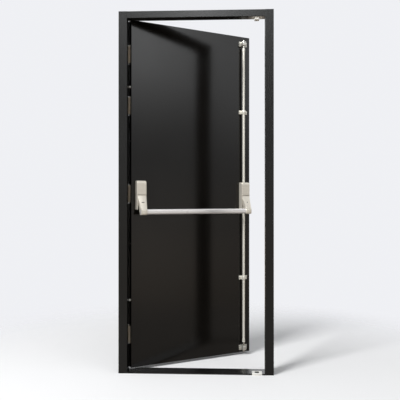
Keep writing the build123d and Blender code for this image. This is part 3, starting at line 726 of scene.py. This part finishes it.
def cross_screw(top_radius, profile, detail):
    """A screw with a cross recess: its top on the XY plane, its outline below as radius and height."""
    mesh = bmesh.new()
    bmesh.ops.create_grid(mesh, x_segments=5, y_segments=5, size=top_radius)
    half = detail.recess_width / 2
    reach = top_radius * RECESS_REACH
    lines = sorted({round(vertex.co.x, 7) for vertex in mesh.verts})
    moved = dict(zip(lines, (-top_radius, -reach, -half, half, reach, top_radius)))
    for vertex in mesh.verts:
        vertex.co.x = moved[round(vertex.co.x, 7)]
        vertex.co.y = moved[round(vertex.co.y, 7)]
    rim = [edge for edge in mesh.edges if edge.is_boundary]
    for vertex in {vertex for edge in rim for vertex in edge.verts}:
        vertex.co = vertex.co.normalized() * top_radius
    arms = []
    for face in mesh.faces:
        middle = face.calc_center_median()
        if min(abs(middle.x), abs(middle.y)) < half and max(abs(middle.x), abs(middle.y)) < reach:
            arms.append(face)
    sunk = bmesh.ops.extrude_face_region(mesh, geom=arms)["geom"]
    bottom = [item for item in sunk if isinstance(item, bmesh.types.BMVert)]
    bmesh.ops.delete(mesh, geom=arms, context="FACES_ONLY")
    bmesh.ops.translate(mesh, verts=bottom, vec=(0, 0, -detail.recess_depth))
    bmesh.ops.scale(mesh, verts=bottom, vec=(RECESS_TAPER, RECESS_TAPER, 1))
    for radius, height in profile:
        turned = bmesh.ops.extrude_edge_only(mesh, edges=rim)["geom"]
        rim = [item for item in turned if isinstance(item, bmesh.types.BMEdge) and item.is_boundary]
        for vertex in {vertex for edge in rim for vertex in edge.verts}:
            flat = Vector((vertex.co.x, vertex.co.y, 0)).normalized() * radius
            vertex.co = (flat.x, flat.y, height)
    bmesh.ops.contextual_create(mesh, geom=rim)
    bmesh.ops.recalc_face_normals(mesh, faces=mesh.faces)
    return mesh


def repeated(shape, places):
    """One bmesh with a copy of a shape at each place."""
    pattern = bpy.data.meshes.new("pattern")
    shape.to_mesh(pattern)
    shape.free()
    group = bmesh.new()
    for place in places:
        placed = pattern.copy()
        placed.transform(place)
        group.from_mesh(placed)
        bpy.data.meshes.remove(placed)
    bpy.data.meshes.remove(pattern)
    return group


def corners(points):
    """Lowest and highest corner of the box around a list of points."""
    return [Vector([pick(point[axis] for point in points) for axis in range(3)]) for pick in (min, max)]


def extent(node, place=Matrix.Identity(4)):
    """Lowest and highest corner of a CAD node in the axes of a place."""
    inverse = place.inverted()
    return corners([inverse @ vertex.co for vertex in frame["nodes"][node].data.vertices])


def sunk_profile(head_radius, shank_radius, length):
    """Turned outline of a countersunk screw below its top."""
    cone = head_radius - shank_radius
    return ((head_radius, -SUNK_RIM), (shank_radius, -cone), (shank_radius, -length))


def pan_profile(head_radius, head_height, shank_radius, length):
    """Turned outline of a pan-head screw below the flat of its top."""
    return (
        (head_radius * 0.86, -head_height * 0.22),
        (head_radius, -head_height * 0.62),
        (head_radius, -head_height),
        (shank_radius, -head_height),
        (shank_radius, -head_height - length),
    )


def solid_size(node, normal):
    """Largest radius and the length along a normal of the solids in a node of like screws."""
    mesh = merged_copy(node)
    island = islands(mesh)[0]
    heights = [vertex.co.dot(normal) for vertex in island]
    middle = sum((vertex.co for vertex in island), Vector()) / len(island)
    offsets = [vertex.co - middle for vertex in island]
    radius = max((offset - normal * offset.dot(normal)).length for offset in offsets)
    mesh.free()
    return radius, max(heights) - min(heights)


def rounded_bar(low, high, radius, place, slant=0.0):
    """A bar between two corners in the axes of a place, its z edges rounded and one side slanted."""
    mesh = bmesh.new()
    middle = (low + high) / 2
    size = Matrix.Diagonal((*(high - low), 1))
    bmesh.ops.create_cube(mesh, size=1, matrix=Matrix.Translation(middle) @ size)
    corner = [vertex for vertex in mesh.verts if vertex.co.x < middle.x and vertex.co.y < middle.y]
    bmesh.ops.translate(mesh, verts=corner, vec=(0, slant, 0))
    upright = [edge for edge in mesh.edges if edge.verts[0].co.z != edge.verts[1].co.z]
    bmesh.ops.bevel(mesh, geom=upright, offset=radius, affect="EDGES", segments=2, profile=0.5, material=-1)
    bmesh.ops.transform(mesh, matrix=place, verts=mesh.verts)
    return mesh


def joined(meshes):
    """Several bmeshes as one."""
    whole = bmesh.new()
    for mesh in meshes:
        data = bpy.data.meshes.new("part")
        mesh.to_mesh(data)
        mesh.free()
        whole.from_mesh(data)
        bpy.data.meshes.remove(data)
    return whole


def dome(radius, height, place):
    """A shallow turned dome on the XY plane of a place, sunk a little into what it sits on."""
    mesh = bmesh.new()
    bmesh.ops.create_uvsphere(mesh, u_segments=24, v_segments=12, radius=radius)
    whole = mesh.verts[:] + mesh.edges[:] + mesh.faces[:]
    bmesh.ops.bisect_plane(mesh, geom=whole, plane_co=(0, 0, 0), plane_no=UP, clear_inner=True)
    bmesh.ops.contextual_create(mesh, geom=[edge for edge in mesh.edges if edge.is_boundary])
    bmesh.ops.scale(mesh, verts=mesh.verts, vec=(1, 1, height / radius))
    bmesh.ops.translate(mesh, verts=mesh.verts, vec=(0, 0, -height * DOME_SINK))
    bmesh.ops.recalc_face_normals(mesh, faces=mesh.faces)
    bmesh.ops.transform(mesh, matrix=place, verts=mesh.verts)
    return mesh


def runs_between_hinges(low, high):
    """The height ranges that no hinge takes, from just above one height to just below another."""
    starts = [low + MILLIMETRE / 2]
    ends = []
    for number in HINGE_NUMBERS:
        bottom, top = (corner.z for corner in extent(f"hinge_{number}_pin"))
        ends.append(bottom - HINGE_CLEARANCE)
        starts.append(top + HINGE_CLEARANCE)
    return list(zip(starts, ends + [high - MILLIMETRE / 2]))


class PaintFrame(Operator):
    """Powder coat on the jambs, the head and the threshold"""

    bl_idname = "fire_exit.paint_frame"
    bl_label = "Paint the frame"

    def execute(self, context):
        dress("frame_paint", *FRAME_NODES, "threshold")
        return {"FINISHED"}


class PaintLeaf(Operator):
    """Powder coat on the leaf's skins, and zinc and paper on the hidden pieces"""

    bl_idname = "fire_exit.paint_leaf"
    bl_label = "Paint the leaf"

    def execute(self, context):
        dress("leaf_paint", *SKIN_NODES)
        dress("hidden_zinc", *INNER_NODES)
        dress("core_paper", "leaf_core")
        return {"FINISHED"}


class FinishHinges(Operator):
    """Stainless flaps with eased edges, domed pins, and cross-recess screws in their countersinks"""

    bl_idname = "fire_exit.finish_hinges"
    bl_label = "Finish the hinges"

    def execute(self, context):
        detail = context.scene.fire_exit_detail
        domes = []
        for number in HINGE_NUMBERS:
            for flap, body in (("frame_flap", "frame"), ("leaf_flap", "leaf")):
                node = f"hinge_{number}_{flap}"
                mesh = eased_copy(node, detail.eased_edge * FINE_EASING)
                add_piece(f"{node}_eased", mesh, "hinge_steel", body, (node,))
            dress("turned_steel", f"hinge_{number}_pin")
            domes += self.pin_domes(f"hinge_{number}_pin", detail)
        add_piece("hinge_pin_domes", joined(domes), "turned_steel", "leaf")
        for node, normal, body in (
            ("frame_hinge_screws", Vector((1, 0, 0)), "frame"),
            ("leaf_hinge_screws", -ALONG, "leaf"),
        ):
            radius, length = solid_size(node, normal)
            profile = sunk_profile(radius, radius * SUNK_SHANK, length)
            screw = cross_screw(radius * SUNK_TOP, profile, detail)
            places = [facing(normal, top) for top in screw_tops(node, normal)]
            screws = repeated(screw, places)
            add_piece(f"{node}_crossed", screws, "bright_zinc", body, (node,))
        return {"FINISHED"}

    def pin_domes(self, node, detail):
        """A dome on the upper and one on the lower end of a hinge pin."""
        low, high = extent(node)
        radius = (high.x - low.x) / 2 * DOME_SHARE
        domes = []
        for height, turn in ((high.z, 0.0), (low.z, math.pi)):
            end = Matrix.Translation((HINGE_LINE.x, HINGE_LINE.y, height)) @ Matrix.Rotation(turn, 4, "X")
            domes.append(dome(radius, detail.pin_dome, end))
        return domes


class FinishDevice(Operator):
    """Silver paint on the push-bar device, with the edges of its arms eased"""

    bl_idname = "fire_exit.finish_device"
    bl_label = "Finish the push-bar device"

    def execute(self, context):
        detail = context.scene.fire_exit_detail
        for side in ("inactive", "active"):
            node = f"{side}_arm"
            mesh = eased_copy(node, detail.eased_edge * ARM_EASING)
            # The arms take the silver painted lighter, a painted highlight
            add_piece(f"{node}_eased", mesh, "arm_silver_with_painted_highlight", "push_bar", (node,))
            dress("device_silver", f"{side}_cover")
            dress("turned_steel", f"{side}_pivot_pin")
        dress("bar_silver", "push_bar_tube", "push_bar_caps")
        dress("hidden_zinc", "backplate_screws")
        return {"FINISHED"}


class AddArmMarks(Operator):
    """Raised black oval on the front of the hinge-side arm, and a black set screw on the lock-side arm"""

    bl_idname = "fire_exit.add_arm_marks"
    bl_label = "Add the arm marks"

    def execute(self, context):
        detail = context.scene.fire_exit_detail
        plug = rounded_bar(-PLUG_SIZE / 2, PLUG_SIZE / 2, PLUG_ROUNDING, self.front_of("inactive_arm"))
        add_piece("arm_black_oval", plug, "black_plastic", "push_bar")
        profile = pan_profile(SET_SCREW_RADIUS, SET_SCREW_HEAD, SET_SCREW_SHANK, SET_SCREW_LENGTH)
        screw = cross_screw(SET_SCREW_TOP, profile, detail)
        lift = Matrix.Translation((0, 0, SET_SCREW_LIFT))
        bmesh.ops.transform(screw, matrix=self.front_of("active_arm") @ lift, verts=screw.verts)
        add_piece("arm_set_screw", screw, "black_plastic", "push_bar")
        return {"FINISHED"}

    def front_of(self, node):
        """A place on an arm's sloping front, a little above the push bar, with z out of the surface."""
        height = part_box("push_bar_tube")[1].z + MARK_HEIGHT
        low, high = extent(node, LEAF)
        start = LEAF @ Vector(((low.x + high.x) / 2, low.y - SEARCH_START, height))
        solid = merged_copy(node)
        point, normal, _, _ = BVHTree.FromBMesh(solid).ray_cast(start, OUTWARD)
        solid.free()
        if point is None:
            raise RuntimeError(f"{node} has no front face a little above the push bar")
        return facing(normal, point)


class FinishRods(Operator):
    """Silver rods and guides, bright bolts, carriers and brackets, and the guides' screws"""

    bl_idname = "fire_exit.finish_rods"
    bl_label = "Finish the rods"

    def execute(self, context):
        detail = context.scene.fire_exit_detail
        for side in ("upper", "lower"):
            dress("rod_silver", f"{side}_rod")
            dress("turned_steel", f"{side}_bolt")
            self.add_carrier(f"{side}_rod_carrier", f"{side}_bolt", detail)
            for kind in ("rod_guide", "bolt_bracket"):
                node = f"{side}_{kind}"
                mesh = eased_copy(node, detail.eased_edge)
                add_piece(f"{node}_eased", mesh, BRACKET_FINISHES[kind], "leaf", (node,))
        inside = -OUTWARD
        node = "guide_screws"
        radius, length = solid_size(node, inside)
        head = radius * GUIDE_SCREW_HEAD
        profile = pan_profile(radius, head, radius * PAN_SHANK, length - head)
        screw = cross_screw(radius * GUIDE_SCREW_TOP, profile, detail)
        places = [facing(inside, top) for top in screw_tops(node, inside)]
        screws = repeated(screw, places)
        add_piece(f"{node}_crossed", screws, "bright_zinc", "leaf", (node,))
        return {"FINISHED"}

    def add_carrier(self, node, body, detail):
        """A carrier with eased edges, a hair narrower so that it runs free in the arm's pocket."""
        mesh = eased_copy(node, detail.eased_edge * FINE_EASING)
        low, high = extent(node, LEAF)
        middle = LEAF @ Matrix.Translation((low + high) / 2)
        narrower = middle @ Matrix.Diagonal((CARRIER_WIDTH, 1, 1, 1)) @ middle.inverted()
        bmesh.ops.transform(mesh, matrix=narrower, verts=mesh.verts)
        add_piece(f"{node}_eased", mesh, "turned_steel", body, (node,))


class FinishStrikes(Operator):
    """Bright strikes with eased edges, and their screws"""

    bl_idname = "fire_exit.finish_strikes"
    bl_label = "Finish the strikes"

    def execute(self, context):
        detail = context.scene.fire_exit_detail
        for node in ("top_strike", "bottom_strike"):
            mesh = eased_copy(node, detail.eased_edge)
            # The strikes take the zinc painted lighter, a painted highlight
            add_piece(f"{node}_eased", mesh, "zinc_with_painted_highlight", "frame", (node,))
        node = "strike_screws"
        radius, length = solid_size(node, UP)
        head = length / 3
        profile = pan_profile(radius, head, radius * PAN_SHANK, length - head)
        screw = cross_screw(radius * STRIKE_SCREW_TOP, profile, detail)
        half_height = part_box("frame_head")[1].z / 2
        low_tops = screw_tops(node, UP, lambda point: point.z < half_height)
        high_tops = screw_tops(node, -UP, lambda point: point.z > half_height)
        places = [facing(UP, top) for top in low_tops] + [facing(-UP, top) for top in high_tops]
        screws = repeated(screw, places)
        add_piece(f"{node}_crossed", screws, "bright_zinc", "frame", (node,))
        return {"FINISHED"}


def ribbed_strip(width, length, thickness, ribs, place):
    """A rubber strip with ribs along it: x across, y along and z out from its base."""
    mesh = bmesh.new()
    bmesh.ops.create_grid(mesh, x_segments=4 * ribs, y_segments=1, size=0.5)
    for vertex in mesh.verts:
        phase = (vertex.co.x + 0.5) * ribs
        lift = RIB_FOOT + (1 - RIB_FOOT) * abs(math.sin(math.pi * phase))
        vertex.co = (vertex.co.x * width, vertex.co.y * length, thickness * lift)
    lower = bmesh.ops.extrude_face_region(mesh, geom=mesh.faces[:])["geom"]
    for item in lower:
        if isinstance(item, bmesh.types.BMVert):
            item.co.z = 0.0
    bmesh.ops.recalc_face_normals(mesh, faces=mesh.faces)
    bmesh.ops.transform(mesh, matrix=place, verts=mesh.verts)
    return mesh


class AddSeal(Operator):
    """Ribbed rubber seal on the frame's stop"""

    bl_idname = "fire_exit.add_seal"
    bl_label = "Add the seal"

    def execute(self, context):
        ribs = context.scene.fire_exit_detail.seal_ribs
        mesh = merged_copy("frame_seal")
        strips = []
        for island in islands(mesh):
            low, high = corners([vertex.co for vertex in island])
            size = high - low
            upright = size.z > size.x
            width, length = (size.x, size.z) if upright else (size.z, size.x)
            across = Vector((-1, 0, 0)) if upright else UP
            along = UP if upright else Vector((1, 0, 0))
            base = Vector(((low.x + high.x) / 2, low.y, (low.z + high.z) / 2))
            turn = Matrix((across, along, across.cross(along))).transposed().to_4x4()
            strips.append(ribbed_strip(width, length, size.y, ribs, Matrix.Translation(base) @ turn))
        mesh.free()
        seal = joined(strips)
        add_piece("frame_seal_ribbed", seal, "seal_rubber", "frame", ("frame_seal",))
        return {"FINISHED"}


class AddGapShadeStrips(Operator):
    """Dark rubber strips that close the gap between the hinge jamb and the leaf, and stand in there as
    painted shade that hides the bright backdrop seen through the gap
    """

    bl_idname = "fire_exit.add_gap_strips"
    bl_label = "Add the gap strips"

    def execute(self, context):
        add_piece("leaf_gap_shade_strips", joined(self.leaf_lips()), "seal_rubber", "leaf")
        add_piece("jamb_gap_shade_strips", joined(self.jamb_strips()), "seal_rubber", "frame")
        return {"FINISHED"}

    def leaf_lips(self):
        """Lips on the outer face of the leaf, which reach past its hinge edge, top and bottom."""
        leaf_low, leaf_high = extent("leaf_outer_skin", LEAF)
        seat = leaf_low.x + LIP_SEAT
        face = leaf_high.y
        lips = []
        for bottom, top in runs_between_hinges(leaf_low.z - LIP_PAST_BOTTOM, leaf_high.z + LIP_PAST_TOP):
            low = Vector((-LIP_REACH, face - STRIP_BITE, bottom))
            high = Vector((seat, face + LIP_THICKNESS, top))
            lips.append(rounded_bar(low, high, LIP_ROUNDING, LEAF, LIP_SLANT))
        return lips

    def jamb_strips(self):
        """Strips in the back corner of the hinge jamb's rebate, from the threshold to the seal's top."""
        rebate = -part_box("frame_head")[1].x
        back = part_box("hinge_jamb")[1].y
        strips = []
        for bottom, top in runs_between_hinges(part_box("threshold")[1].z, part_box("frame_seal")[1].z):
            low = Vector((rebate - STRIP_BITE, back - JAMB_STRIP_FRONT, bottom))
            high = Vector((rebate + JAMB_STRIP_WIDTH, back - JAMB_STRIP_BACK, top))
            strips.append(rounded_bar(low, high, JAMB_STRIP_ROUNDING, Matrix.Identity(4)))
        return strips


class FinishEdgeFurniture(Operator):
    """Dog bolts and plugs in the hinge edge of the leaf"""

    bl_idname = "fire_exit.finish_edge"
    bl_label = "Finish the edge furniture"

    def execute(self, context):
        # The dog bolts take the zinc painted lighter, a painted highlight
        dress("zinc_with_painted_highlight", "dog_bolts")
        dress("black_plastic", "edge_plugs")
        return {"FINISHED"}


def softbox(name, place, side, power, target):
    """A square lamp that faces a point."""
    lamp = bpy.data.lights.new(name, "AREA")
    lamp.shape = "SQUARE"
    lamp.size = side
    lamp.energy = power
    holder = bpy.data.objects.new(name, lamp)
    holder.location = place
    holder.rotation_euler = (target - Vector(place)).to_track_quat("-Z", "Y").to_euler()
    bpy.context.scene.collection.objects.link(holder)


class SetStage(Operator):
    """Pale floor, backdrop, lamps and the camera"""

    bl_idname = "fire_exit.set_stage"
    bl_label = "Set the stage"

    def execute(self, context):
        stage = context.scene.fire_exit_stage
        context.scene.view_settings.view_transform = "Standard"
        self.lay_floor(stage)
        self.light_world(context.scene, stage)
        middle = Vector((0, 0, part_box("frame_head")[1].z / 2))
        softbox("key_lamp", *KEY_LAMP, stage.key_power, middle)
        softbox("top_lamp", *TOP_LAMP, stage.top_power, middle)
        lens = bpy.data.cameras.new("camera")
        lens.lens = stage.camera_lens
        camera = bpy.data.objects.new("camera", lens)
        camera.location = stage.camera_place
        camera.rotation_euler = (math.pi / 2 + stage.camera_tilt, 0, stage.camera_turn)
        context.scene.collection.objects.link(camera)
        context.scene.camera = camera
        return {"FINISHED"}

    def lay_floor(self, stage):
        """A wide pale disc under the door, which fades into the backdrop."""
        mesh = bmesh.new()
        bmesh.ops.create_circle(mesh, cap_ends=True, segments=96, radius=FLOOR_RADIUS)
        data = bpy.data.meshes.new("floor")
        mesh.to_mesh(data)
        mesh.free()
        floor = bpy.data.objects.new("floor", data)
        bpy.context.scene.collection.objects.link(floor)
        material = bpy.data.materials.new("floor")
        graph = Graph(material)
        seen = graph.node("ShaderNodeLightPath", output="Is Camera Ray")
        here = graph.node("ShaderNodeTexCoord", output="Object")
        reach = graph.node("ShaderNodeVectorMath", {"operation": "LENGTH"}, {0: here}, "Value")
        graph.surface(
            Base_Color=graph.mixed(seen, opaque(stage.bounce_colour), opaque(stage.floor_colour)),
            Roughness=0.8,
            Specular=0.1,
            Alpha=graph.limited(reach, *FLOOR_FADE, 1.0, 0.0),
        )
        data.materials.append(material)

    def light_world(self, scene, stage):
        """A pale backdrop for the camera, and a plain studio with soft glows for everything else."""
        world = bpy.data.worlds.new("studio")
        scene.world = world
        graph = Graph(world)
        direction = graph.node("ShaderNodeTexCoord", output="Generated")
        depth = graph.node("ShaderNodeSeparateXYZ", inputs={"Vector": direction}, output="Y")
        height = graph.node("ShaderNodeSeparateXYZ", inputs={"Vector": direction}, output="Z")
        mirrored = graph.node("ShaderNodeLightPath", output="Is Glossy Ray")
        behind = stage.behind_level + (stage.behind_glare - stage.behind_level) * mirrored
        level = graph.limited(depth, *FRONT_TO_BEHIND, stage.room_level, behind)
        level *= graph.limited(height, *LOW_TO_LEVEL, stage.low_share, 1.0)
        distance = {"operation": "DISTANCE"}
        for centre, radius, strength in GLOWS:
            away = graph.node("ShaderNodeVectorMath", distance, {0: direction, 1: centre}, "Value")
            level += graph.limited(away, 0.0, radius, strength, 0.0)
        tint = graph.mixed(graph.limited(height, *WARM_TO_COOL), WARM_LIGHT, COOL_LIGHT)
        seen = graph.node("ShaderNodeLightPath", output="Is Camera Ray")
        far_floor = graph.limited(height, *FAR_FLOOR_TO_BACKDROP)
        paper = graph.mixed(far_floor, opaque(stage.far_floor_colour), opaque(stage.backdrop_colour))
        backdrop = graph.node("ShaderNodeBackground", inputs={"Color": paper, "Strength": 1.0})
        room = graph.node("ShaderNodeBackground", inputs={"Color": tint, "Strength": level})
        light = graph.node("ShaderNodeMixShader", inputs={0: seen, 1: room, 2: backdrop})
        graph.node("ShaderNodeOutputWorld", inputs={"Surface": light})


class DoorPanel(Panel):
    """Buttons and settings of the door in the sidebar"""

    bl_label = "Fire exit door"
    bl_idname = "VIEW3D_PT_fire_exit"
    bl_space_type = "VIEW_3D"
    bl_region_type = "UI"
    bl_category = "Fire exit door"

    def draw(self, context):
        for name, kind in GROUPS.items():
            for setting in kind.__annotations__:
                self.layout.prop(getattr(context.scene, name), setting)
        for operator in OPERATORS:
            self.layout.operator(operator.bl_idname)


GROUPS = {
    "fire_exit_paint": PaintSettings,
    "fire_exit_detail": DetailSettings,
    "fire_exit_stage": StageSettings,
}
OPERATORS = (
    PaintFrame,
    PaintLeaf,
    FinishHinges,
    FinishDevice,
    AddArmMarks,
    FinishRods,
    FinishStrikes,
    AddSeal,
    AddGapShadeStrips,
    FinishEdgeFurniture,
    SetStage,
)


def register():
    for name, group in GROUPS.items():
        bpy.utils.register_class(group)
        setattr(bpy.types.Scene, name, PointerProperty(type=group))
    for operator in OPERATORS:
        bpy.utils.register_class(operator)
    bpy.utils.register_class(DoorPanel)


def unregister():
    bpy.utils.unregister_class(DoorPanel)
    for operator in reversed(OPERATORS):
        bpy.utils.unregister_class(operator)
    for name, group in GROUPS.items():
        delattr(bpy.types.Scene, name)
        bpy.utils.unregister_class(group)


def main():
    register()
    for operator in OPERATORS:
        group, action = operator.bl_idname.split(".")
        getattr(getattr(bpy.ops, group), action)()


if __name__ == "__main__":
    main()
